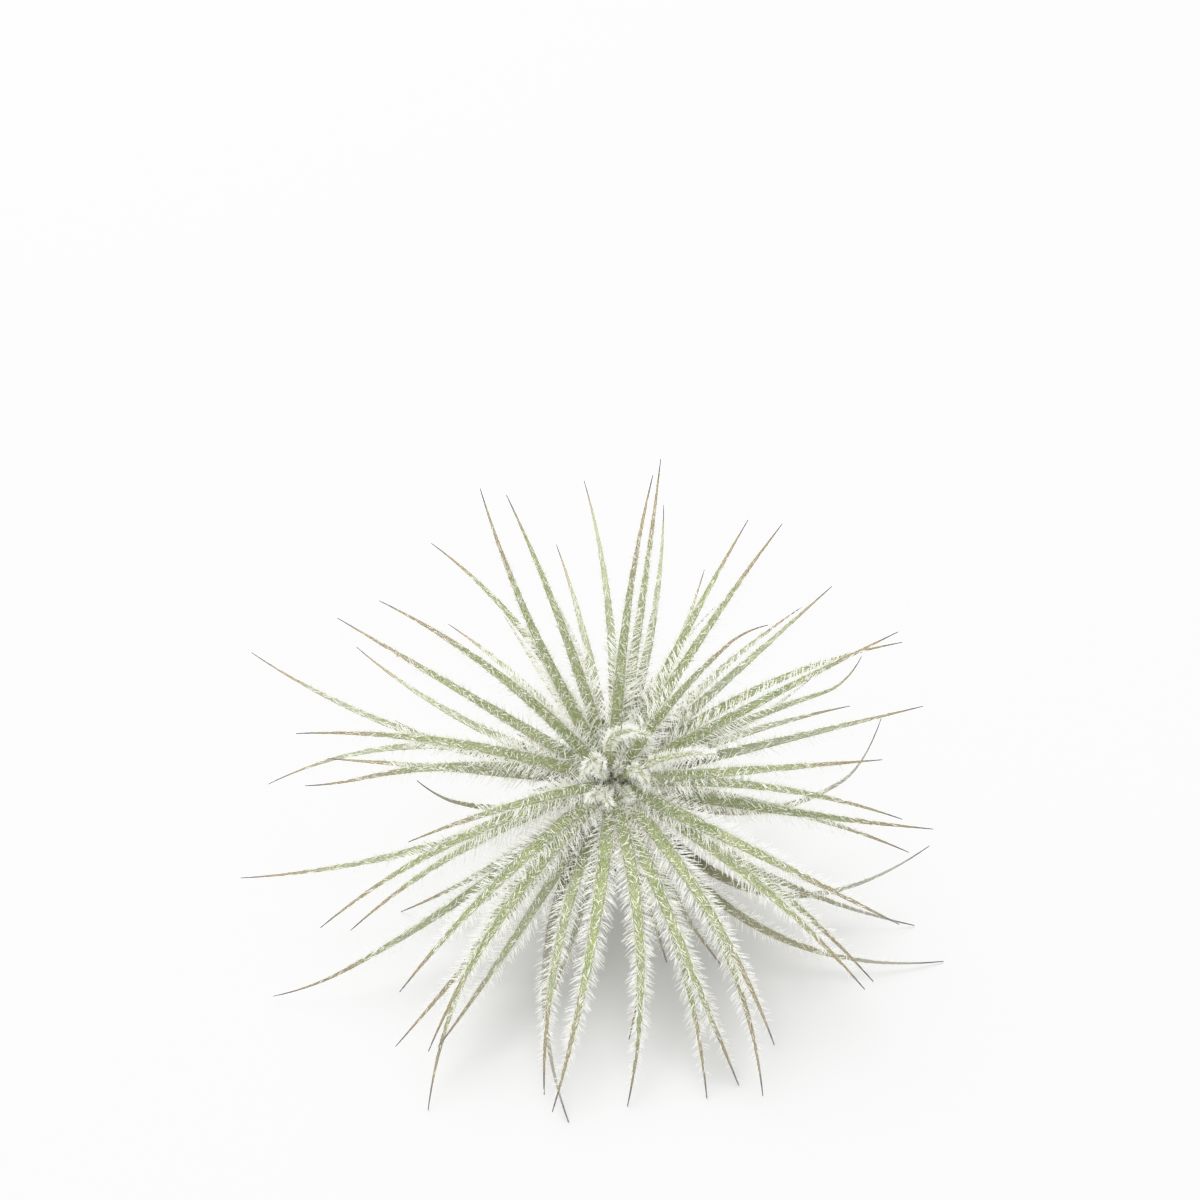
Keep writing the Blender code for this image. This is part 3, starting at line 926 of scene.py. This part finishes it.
@dataclass
class Whorl:
    """Leaves of one sort that grow together and make one piece."""

    name: str
    leaves: tuple[Leaf, ...]
    rolls: list[float]
    shape: BladeShape = BladeShape()
    seed: int = 3

    # Leaves seated below the first are old, and fully so after the second, in millimetres.
    YOUNG_SEAT = -6.0
    AGE_SPAN = 6.0

    def build(self, pattern: bpy.types.Object) -> bpy.types.Object:
        """Lay a copy of the pattern along each leaf and join them.

        Args:
            pattern: The straight blade.

        Returns:
            The piece, in the row frame.
        """
        tints = random.Random(self.seed)
        straight = read_points(pattern.data)
        along = straight[:, 2].clip(0.0, 1.0)
        parts = []
        for leaf, roll in zip(self.leaves, self.rolls):
            mesh = pattern.data.copy()
            part = bpy.data.objects.new(self.name, mesh)
            bpy.context.collection.objects.link(part)
            write_points(mesh, to_row(self.shape.surface(leaf, roll, along, straight[:, :2])))
            age = min(max((self.YOUNG_SEAT - leaf.seat) / self.AGE_SPAN, 0.0), 1.0)
            write_values(mesh, along=along, tint=tints.random(), dry=leaf.dry,
                         edge=np.abs(straight[:, 0]), age=age)
            parts.append(part)
        return join_pieces(parts, self.name)


@dataclass(frozen=True)
class HairCoat:
    """Hairs of one sort, planted all over some leaves and longest near their roots."""

    name: str
    per_mm: float
    length: float = 2.4 * MM
    breadth: float = 0.14 * MM
    bare_from: float = 0.78
    margin_share: float = 1.0
    spread: float = 0.45
    lean: tuple[float, float] = (0.15, 0.5)
    stray: float = 0.12
    shrink: float = 0.55
    curl: float = 0.22
    start: float = 0.02

    ROOT_DEPTH = 0.05 * MM
    FLOOR_CLEAR = 0.02 * MM
    # How much of the number of hairs goes by the leaf's width.
    WIDTH_SHARE = 0.5
    # Where down a leaf the hairs end, and how they thin out on the way.
    HAIRLESS = 0.97
    LAST = 0.99
    THINNING = 0.35
    FALL_OFF = 1.5
    FEWEST = 0.02
    STEPS = 240
    # Where they begin to shorten, and over what share of the leaf.
    SHRINK_FROM = 0.25
    SHRINK_OVER = 0.65
    # How far lengths and breadths vary, and how fine the shortest hairs and the ends are.
    LENGTHS = (0.6, 1.2)
    BREADTHS = (0.8, 1.2)
    FINEST = 0.4
    TOP_WIDTH = 0.55

    @staticmethod
    def cone(top: float) -> bpy.types.Object:
        """Add a cone of three sides and unit height that stands on the origin.

        Args:
            top: The radius of its upper end.

        Returns:
            The cone.
        """
        deselect_all()
        bpy.ops.mesh.primitive_cone_add(
            vertices=3, radius1=1.0, radius2=top, depth=1.0, location=(0.0, 0.0, 0.5))
        bpy.ops.object.transform_apply(location=True, rotation=True, scale=True)
        return bpy.context.object

    @staticmethod
    def take_apart(hair: bpy.types.Object) -> tuple[np.ndarray, np.ndarray]:
        """Read a hair's mesh and delete its object.

        Args:
            hair: The hair, all of triangles, open in edit mode.

        Returns:
            Its corners, and the corners of each of its faces.
        """
        bpy.ops.object.mode_set(mode="OBJECT")
        points = read_points(hair.data)
        faces = np.array([face.vertices[:] for face in hair.data.polygons])
        bpy.data.objects.remove(hair)
        return points, faces

    def bristle(self) -> tuple[np.ndarray, np.ndarray]:
        """Model one long hair: a tapering rod of three sides, cut once so that it can bend.

        Returns:
            Its corners, and the corners of each of its faces.
        """
        hair = self.cone(self.TOP_WIDTH)
        edit_edges(hair, is_upright)
        bpy.ops.mesh.subdivide(number_cuts=1)
        bpy.ops.mesh.select_all(action="SELECT")
        bpy.ops.mesh.quads_convert_to_tris()
        return self.take_apart(hair)

    def spike(self) -> tuple[np.ndarray, np.ndarray]:
        """Model one short hair: a cone of three sides, drawn out so that its tip is an edge.

        Its root is an edge too, across the other way, so it looks as thin from every side.

        Returns:
            Its corners, and the corners of each of its faces.
        """
        hair = self.cone(0.0)
        corners = np.array(((-1.0, 0.0, 0.0), (1.0, 0.0, 0.0), (0.0, 0.6, 1.0), (0.0, -0.6, 1.0)))
        write_points(hair.data, corners)
        bpy.context.tool_settings.mesh_select_mode = (True, False, False)
        bpy.ops.object.mode_set(mode="EDIT")
        bpy.ops.mesh.select_all(action="SELECT")
        bpy.ops.mesh.normals_make_consistent(inside=False)
        return self.take_apart(hair)

    def shares(self, count: int, rng: np.random.Generator) -> np.ndarray:
        """Choose where down a leaf the hairs stand, thinning out towards the tip.

        Args:
            count: How many hairs there are.
            rng: The source of chance.

        Returns:
            Shares of the way from root to tip.
        """
        grid = np.linspace(self.start, self.LAST, self.STEPS)
        span = max(self.HAIRLESS - self.bare_from, 1e-6)
        fade = ((grid - self.bare_from) / span).clip(0, 1)
        sum_up = np.cumsum(
            (1 - fade) ** self.FALL_OFF * (1 - self.THINNING * grid) + self.FEWEST)
        even = (np.arange(count) + rng.random(count)) / count
        return np.interp(even, sum_up / sum_up[-1], grid)

    def plant(self, whorl: Whorl, chosen: slice, rng: np.random.Generator) -> bpy.types.Object:
        """Cover some of a whorl's leaves with hairs.

        Args:
            whorl: The leaves.
            chosen: Which of them to cover.
            rng: The source of chance.

        Returns:
            One piece with all the hairs, in the row frame.
        """
        roots, ways, bends, lengths = [], [], [], []
        for leaf, roll in zip(whorl.leaves[chosen], whorl.rolls[chosen]):
            fullness = 1 - self.WIDTH_SHARE + self.WIDTH_SHARE * leaf.width
            count = int(self.per_mm * leaf.length() / MM * fullness)
            along = self.shares(count, rng)
            turn = rng.random(count) * 2 * math.pi
            on_margin = rng.random(count) < self.margin_share
            edge = rng.integers(0, 2, count) * math.pi + rng.normal(0.0, self.spread, count)
            turn = np.where(on_margin, edge, turn)
            root, way, bend = self.stand(whorl.shape, leaf, roll, along, turn, rng)
            outward = ((along - self.SHRINK_FROM) / self.SHRINK_OVER).clip(0, 1)
            roots.append(root)
            ways.append(way)
            bends.append(bend)
            spread = rng.uniform(*self.LENGTHS, count)
            lengths.append(self.length * (1 - self.shrink * outward) * spread)
        return self.mesh(np.concatenate(roots), np.concatenate(ways), np.concatenate(bends),
                         np.concatenate(lengths), rng)

    def stand(self, shape: BladeShape, leaf: Leaf, roll: float, along: np.ndarray,
              turn: np.ndarray, rng: np.random.Generator) -> tuple[np.ndarray, ...]:
        """Find each hair's root and the way it points.

        Args:
            shape: The blade's cross-section.
            leaf: The leaf.
            roll: The blade's turn at the tip.
            along: Shares of the way from root to tip.
            turn: Angles round the blade.
            rng: The source of chance.

        Returns:
            Roots, unit directions, and unit directions down the blade, in the row frame.
        """
        step = 0.02

        def skin(share: np.ndarray, angle: np.ndarray) -> np.ndarray:
            """Return points on the blade's skin in the row frame."""
            ring = np.stack((np.cos(angle), np.sin(angle)), axis=1)
            return to_row(shape.surface(leaf, roll, share, ring))

        root = skin(along, turn)
        down = unit(skin((along + step).clip(0, 1), turn) - skin(along - step / 2, turn))
        round_it = skin(along, turn + step) - skin(along, turn - step)
        out = unit(np.cross(round_it, down))
        lean = rng.uniform(*self.lean, len(along))[:, None]
        way = unit(out + down * lean + rng.normal(0.0, self.stray, root.shape))
        return root - out * self.ROOT_DEPTH, way, down

    def mesh(self, roots: np.ndarray, ways: np.ndarray, bends: np.ndarray,
             lengths: np.ndarray, rng: np.random.Generator) -> bpy.types.Object:
        """Copy the hair to every root.

        Args:
            roots: Where the hairs stand.
            ways: Where they point.
            bends: Which way they bend.
            lengths: How long they are.
            rng: The source of chance.

        Returns:
            The piece.
        """
        points, faces = self.bristle() if self.curl else self.spike()
        count = len(roots)
        spin = unit(np.cross(ways, unit(rng.normal(0.0, 1.0, ways.shape))))
        other = np.cross(ways, spin)
        radius = self.breadth / 2 * rng.uniform(*self.BREADTHS, count)
        fullness = (lengths / self.length).clip(0, 1)
        radius = radius * (self.FINEST + (1 - self.FINEST) * fullness)
        tips = ways * lengths[:, None]
        placed = roots[:, None, :] + points[None, :, 2:3] * tips[:, None, :]
        placed = placed + points[None, :, 0:1] * (spin * radius[:, None])[:, None, :]
        placed = placed + points[None, :, 1:2] * (other * radius[:, None])[:, None, :]
        bent = bends * lengths[:, None] * self.curl
        placed = placed + points[None, :, 2:3] ** 2 * bent[:, None, :]
        placed = placed.reshape(-1, 3)
        placed[:, 2] = placed[:, 2].clip(self.FLOOR_CLEAR)
        offsets = np.arange(count)[:, None, None] * len(points)
        corners = (faces[None, :, :] + offsets).reshape(-1)
        mesh = bpy.data.meshes.new(self.name)
        mesh.vertices.add(len(placed))
        mesh.loops.add(len(corners))
        mesh.polygons.add(len(corners) // 3)
        mesh.loops.foreach_set("vertex_index", corners.astype(np.int32))
        mesh.polygons.foreach_set("loop_start", np.arange(0, len(corners), 3, dtype=np.int32))
        write_points(mesh, placed)
        mesh.update(calc_edges=True)
        write_values(mesh, hair_along=np.tile(points[:, 2], count),
                     tone=np.repeat(rng.random(count), len(points)))
        piece = bpy.data.objects.new(self.name, mesh)
        bpy.context.collection.objects.link(piece)
        return piece


def down_coat(name: str, per_mm: float) -> HairCoat:
    """Describe the short fine hairs that lie along the faces of a blade, so many a millimetre."""
    return HairCoat(name, per_mm, length=0.85 * MM, breadth=0.055 * MM, bare_from=0.75,
                    margin_share=0.0, lean=(1.3, 3.0), stray=0.15, curl=0.0)


@dataclass(frozen=True)
class Core:
    """The turned core that a whorl grows from: radii and heights in the plant's frame, in mm."""

    name: str
    profile: tuple[tuple[float, float], ...]
    sides: int = 28
    dry: float = 0.5
    age: float = 0.0

    def build(self) -> bpy.types.Object:
        """Extrude a disc up the profile, ring by ring.

        Returns:
            The core, in the row frame.
        """
        deselect_all()
        rings = [(radius * MM, height * MM) for radius, height in self.profile]
        radius, height = rings[0]
        bpy.ops.mesh.primitive_circle_add(
            vertices=self.sides, radius=radius, fill_type="NGON", location=(0.0, 0.0, height))
        core = bpy.context.object
        core.name = core.data.name = self.name
        bpy.ops.object.transform_apply(location=True, rotation=True, scale=True)
        bpy.context.tool_settings.mesh_select_mode = (True, False, False)
        bpy.ops.object.mode_set(mode="EDIT")
        bpy.ops.mesh.select_all(action="SELECT")
        for next_radius, next_height in rings[1:]:
            rise = (0.0, 0.0, next_height - height)
            bpy.ops.mesh.extrude_region_move(TRANSFORM_OT_translate={"value": rise})
            share = next_radius / radius
            bpy.ops.transform.resize(value=(share, share, 1.0))
            radius, height = next_radius, next_height
        bpy.ops.mesh.select_all(action="SELECT")
        bpy.ops.mesh.normals_make_consistent(inside=False)
        bpy.ops.uv.reset()
        bpy.ops.object.mode_set(mode="OBJECT")
        bpy.ops.object.shade_smooth_by_angle(angle=SMOOTH_BELOW)
        write_points(core.data, to_row(read_points(core.data)))
        write_values(core.data, along=0.1, tint=0.5, dry=self.dry, edge=0.0, age=self.age)
        return core


@dataclass(frozen=True)
class Kit:
    """What every sub-assembly is made with."""

    pattern: bpy.types.Object
    effects: Effects
    hair: bpy.types.Material
    rng: np.random.Generator

    def dress(self, piece: bpy.types.Object, finish: BladeFinish, slot: Slot, node: str) -> None:
        """Give a piece its finish and let it stand for a node.

        Args:
            piece: The piece.
            finish: Its finish.
            slot: The record's slot for it.
            node: The solid that it replaces.
        """
        piece.data.materials.clear()
        piece.data.materials.append(finish.make(self.effects))
        hand_over(piece, slot, node)

    def plant(self, whorl: Whorl, coats: tuple[tuple[HairCoat, slice], ...]) -> None:
        """Cover a whorl's leaves with hairs.

        Args:
            whorl: The leaves.
            coats: Each coat, and which of the leaves have it.
        """
        for coat, chosen in coats:
            wool = coat.plant(whorl, chosen, self.rng)
            wool.data.materials.append(self.hair)
            hand_over(wool, Slot.LEAF_HAIR)


@dataclass(frozen=True)
class Studio:
    """A pale floor, soft light from the upper left, and the camera over the heart."""

    floor_size: float = 4.0
    floor_colour: Colour = (0.67, 0.67, 0.668)
    light_place: tuple[float, float, float] = (-0.26, 0.50, 1.0)
    light_size: float = 0.9
    light_power: float = 13.6
    room_light: float = 0.97
    room_seen: float = 0.70
    distance: float = 0.290
    lens: float = 54.0
    sensor: float = 36.0
    frame_pixels: int = 1200
    heart_pixel: tuple[int, int] = (613, 781)
    film_white: float = 1.4
    film_shoulder: tuple[tuple[float, float], ...] = (
        (0.18, 0.25), (0.36, 0.505), (0.54, 0.79), (0.62, 0.89), (0.715, 0.95), (0.9, 0.985))

    def build(self) -> None:
        """Set the studio up."""
        self.add_floor()
        self.add_light()
        self.add_world()
        self.add_camera()
        self.set_film()

    def set_film(self) -> None:
        """Answer light as a camera does: straight up to the mid-tones, then a soft shoulder."""
        view = bpy.context.scene.view_settings
        view.view_transform = "Standard"
        view.use_curve_mapping = True
        view.curve_mapping.white_level = (self.film_white,) * 3
        for light, tone in self.film_shoulder:
            view.curve_mapping.curves[3].points.new(light, tone)
        view.curve_mapping.update()

    def add_floor(self) -> None:
        """Add the pale surface that the plant lies on."""
        deselect_all()
        bpy.ops.mesh.primitive_plane_add(size=self.floor_size)
        floor = bpy.context.object
        floor.name = "studio_floor"
        material, _, shader = new_material("studio_paper")
        shader.inputs["Base Color"].default_value = (*self.floor_colour, 1.0)
        shader.inputs["Roughness"].default_value = 0.9
        shader.inputs["Specular IOR Level"].default_value = 0.1
        floor.data.materials.append(material)

    def add_light(self) -> None:
        """Hang a square soft light that faces the plant."""
        lamp = bpy.data.lights.new("window_light", "AREA")
        lamp.shape = "SQUARE"
        lamp.size = self.light_size
        lamp.energy = self.light_power
        holder = bpy.data.objects.new("window_light", lamp)
        bpy.context.collection.objects.link(holder)
        holder.location = self.light_place
        aim = Vector(HEART) - Vector(self.light_place)
        holder.rotation_euler = aim.to_track_quat("-Z", "Y").to_euler()

    def add_world(self) -> None:
        """Fill the room with even white light, whose walls look a little darker than it."""
        world = bpy.data.worlds.new("studio_room")
        world.use_nodes = True
        bench = NodeBench(world.node_tree)
        seen = bench.add("ShaderNodeLightPath").outputs["Is Camera Ray"]
        background = world.node_tree.nodes["Background"]
        background.inputs["Color"].default_value = (1.0, 1.0, 1.0, 1.0)
        bench.link(bench.ramp(seen, 0.0, 1.0, self.room_light, self.room_seen),
                   background.inputs["Strength"])
        bpy.context.scene.world = world

    def add_camera(self) -> None:
        """Put the camera straight out along the stem, with the heart at its own pixel."""
        focal = self.lens / self.sensor * self.frame_pixels
        right = self.heart_pixel[0] - self.frame_pixels / 2
        below = self.heart_pixel[1] - self.frame_pixels / 2
        down = math.pi / 2 - TILT
        pitch = down - math.atan(below / focal)
        yaw = math.atan(right / focal / math.cos(down))
        camera = bpy.data.cameras.new("camera")
        camera.lens = self.lens
        camera.sensor_width = self.sensor
        camera.clip_start = 0.01
        camera.clip_end = 50.0
        eye = bpy.data.objects.new("camera", camera)
        bpy.context.collection.objects.link(eye)
        axis = np.array((0.0, -math.sin(TILT), math.cos(TILT)))
        eye.location = Vector(HEART + axis * self.distance)
        eye.rotation_euler = Euler((math.pi / 2 - pitch, 0.0, yaw))
        bpy.context.scene.camera = eye


@dataclass
class Rosette:
    """The living leaves on their core of sheaths, and their hairs."""

    rolls: list[float]
    core: Core = Core(
        "rosette_core", ((4.4, -14.0), (4.9, -11.0), (4.3, -6.6), (2.4, -5.3), (0.9, -5.0)),
        dry=0.2, age=0.3)
    finish: BladeFinish = BladeFinish(
        "green_leaf", deep=(0.175, 0.235, 0.055), light=(0.375, 0.43, 0.175),
        tip=(0.32, 0.21, 0.125))
    coats: tuple[tuple[HairCoat, slice], ...] = (
        (HairCoat("upper_hairs", 12.0), UPPER),
        (HairCoat("middle_hairs", 9.5, start=0.08), MIDDLE),
        (HairCoat("back_hairs", 7.0, start=0.24), BACK),
        (down_coat("upper_down_right", 46.0), UPPER_RIGHT),
        (down_coat("upper_down_left", 46.0), UPPER_LEFT),
        (down_coat("middle_down", 26.0), MIDDLE),
        (down_coat("back_down", 8.0), BACK))

    def build(self, kit: Kit) -> None:
        """Model the leaves and plant the hairs.

        Args:
            kit: What they are made with.
        """
        whorl = Whorl("rosette_leaves", LIVING_LEAVES, self.rolls)
        piece = join_pieces([whorl.build(kit.pattern), self.core.build()], "rosette_leaves")
        kit.dress(piece, self.finish, Slot.GREEN_LEAF, "green_leaves")
        kit.plant(whorl, self.coats)


@dataclass
class OldLeaves:
    """The lowest leaves, dried to grey and straw, and their hairs."""

    rolls: list[float]
    core: Core = Core(
        "old_core", ((3.1, -20.7), (3.9, -19.5), (4.9, -17.3), (4.6, -14.3)), dry=0.9, age=0.7)
    sheath: BladeShape = BladeShape(
        thickness=0.4 * MM, channel=0.9 * MM, root_width=0.95, taper=2.2)
    stump_roll: float = 0.2
    finish: BladeFinish = BladeFinish(
        "old_leaf", deep=(0.21, 0.22, 0.115), light=(0.42, 0.415, 0.27),
        tip=(0.42, 0.405, 0.37), faded=(0.30, 0.295, 0.19), browned_base_and_shade=(0.12, 0.11, 0.05),
        browning=0.6, fleck_cover=0.45, mottle=0.4)
    coats: tuple[tuple[HairCoat, slice], ...] = (
        (HairCoat("old_leaf_hairs", 5.5, length=1.8 * MM, start=0.28), slice(None)),)

    def build(self, kit: Kit) -> None:
        """Model the leaves, the sheaths round the cores, the stumps and the hairs.

        Args:
            kit: What they are made with.
        """
        whorl = Whorl("old_leaf_whorl", OLD_LEAVES, self.rolls, seed=5)
        sheaths = Whorl("collar_sheaths", collar_sheaths(), [0.0] * COLLAR_SHEATHS,
                        self.sheath, seed=6)
        stumps = Whorl("worn_leaves", worn_leaves(), [self.stump_roll] * WORN_LEAVES, seed=12)
        parts = [group.build(kit.pattern) for group in (whorl, sheaths, stumps)]
        piece = join_pieces([*parts, self.core.build()], "old_leaf_whorl")
        kit.dress(piece, self.finish, Slot.OLD_LEAF, "old_leaves")
        kit.plant(whorl, self.coats)


@dataclass
class HeartLeaves:
    """The pale young leaves curled over the heart, the woolliest of all."""

    rolls: list[float]
    finish: BladeFinish = BladeFinish(
        "young_leaf", deep=(0.25, 0.31, 0.10), light=(0.48, 0.53, 0.26),
        tip=(0.50, 0.37, 0.12), browning=0.8, tip_start=1.05, fleck_cover=0.5)
    coats: tuple[tuple[HairCoat, slice], ...] = (
        (HairCoat("heart_hairs", 24.0, length=1.1 * MM, breadth=0.085 * MM, bare_from=0.97,
                  margin_share=0.6, spread=0.4, shrink=0.2, start=0.3), slice(None)),
        (down_coat("heart_down", 24.0), slice(None)))

    def build(self, kit: Kit) -> None:
        """Model the leaves and plant the hairs.

        Args:
            kit: What they are made with.
        """
        whorl = Whorl("heart_leaves_fine", HEART_LEAVES, self.rolls, seed=8)
        kit.dress(whorl.build(kit.pattern), self.finish, Slot.YOUNG_LEAF, "heart_leaves")
        kit.plant(whorl, self.coats)


@dataclass
class Stem:
    """The woody stub, ringed with scars and wrapped in dry sheaths; lengths in millimetres."""

    rolls: list[float]
    foot: float = -36.2
    foot_radius: float = 1.8
    top: float = -20.0
    top_radius: float = 1.9
    scars: int = 5
    scar_step: float = 3.24
    scar_radius: float = 3.3
    lowest_share: float = 0.88
    widening: float = 0.03
    groove: float = 0.5
    groove_at: float = 0.4
    ridge_at: float = 2.85
    scale: BladeShape = BladeShape(thickness=0.4 * MM, channel=0.7 * MM, taper=2.0)
    finish: BladeFinish = BladeFinish(
        "stem_bark", deep=(0.10, 0.06, 0.035), light=(0.30, 0.22, 0.14),
        tip=(0.33, 0.26, 0.18), faded=(0.23, 0.165, 0.11), browned_base_and_shade=(0.10, 0.065, 0.04),
        point=(0.18, 0.125, 0.08), browning=0.5, fleck_cover=0.25, mottle=0.8, bump=1.0)

    def build(self, kit: Kit) -> None:
        """Model the stub and its sheaths, and cut its foot level.

        Args:
            kit: What they are made with.
        """
        scales = Whorl("stem_scales", stem_scales(), self.rolls + [0.0] * FRAYED_SCALES,
                       self.scale, seed=9)
        stub = Core("stem_stub", self.profile(), dry=1.0).build()
        piece = join_pieces([scales.build(kit.pattern), stub], "stem_stub")
        points = read_points(piece.data)
        points[:, 2] = points[:, 2].clip(0.0)
        write_points(piece.data, points)
        kit.dress(piece, self.finish, Slot.STEM_BARK, "stem")

    def profile(self) -> tuple[tuple[float, float], ...]:
        """Outline the stub: each scar flares out and steps back in.

        Returns:
            Its radii and heights, from the foot up.
        """
        rings = [(self.foot_radius, self.foot)]
        for scar in range(self.scars):
            low = self.foot + scar * self.scar_step
            radius = self.scar_radius * (self.lowest_share + self.widening * scar)
            rings += [(radius - self.groove, low + self.groove_at), (radius, low + self.ridge_at)]
        return (*rings, (self.top_radius, self.top))


def main() -> None:
    """Dress the plant and light it."""
    logging.basicConfig(level=logging.INFO, format="%(message)s")
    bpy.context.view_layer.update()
    Studio().build()
    kit = Kit(StraightBlade().model(), Effects(), HairFinish().make(),
              np.random.default_rng(HAIR_SEED))
    dice = random.Random(ROLL_SEED)
    Stem(draw_rolls(dice, SPIRAL_SCALES)).build(kit)
    OldLeaves(draw_rolls(dice, len(OLD_LEAVES))).build(kit)
    Rosette(draw_rolls(dice, len(LIVING_LEAVES))).build(kit)
    HeartLeaves(draw_rolls(dice, len(HEART_LEAVES))).build(kit)
    bpy.data.objects.remove(kit.pattern)


if __name__ == "__main__":
    main()
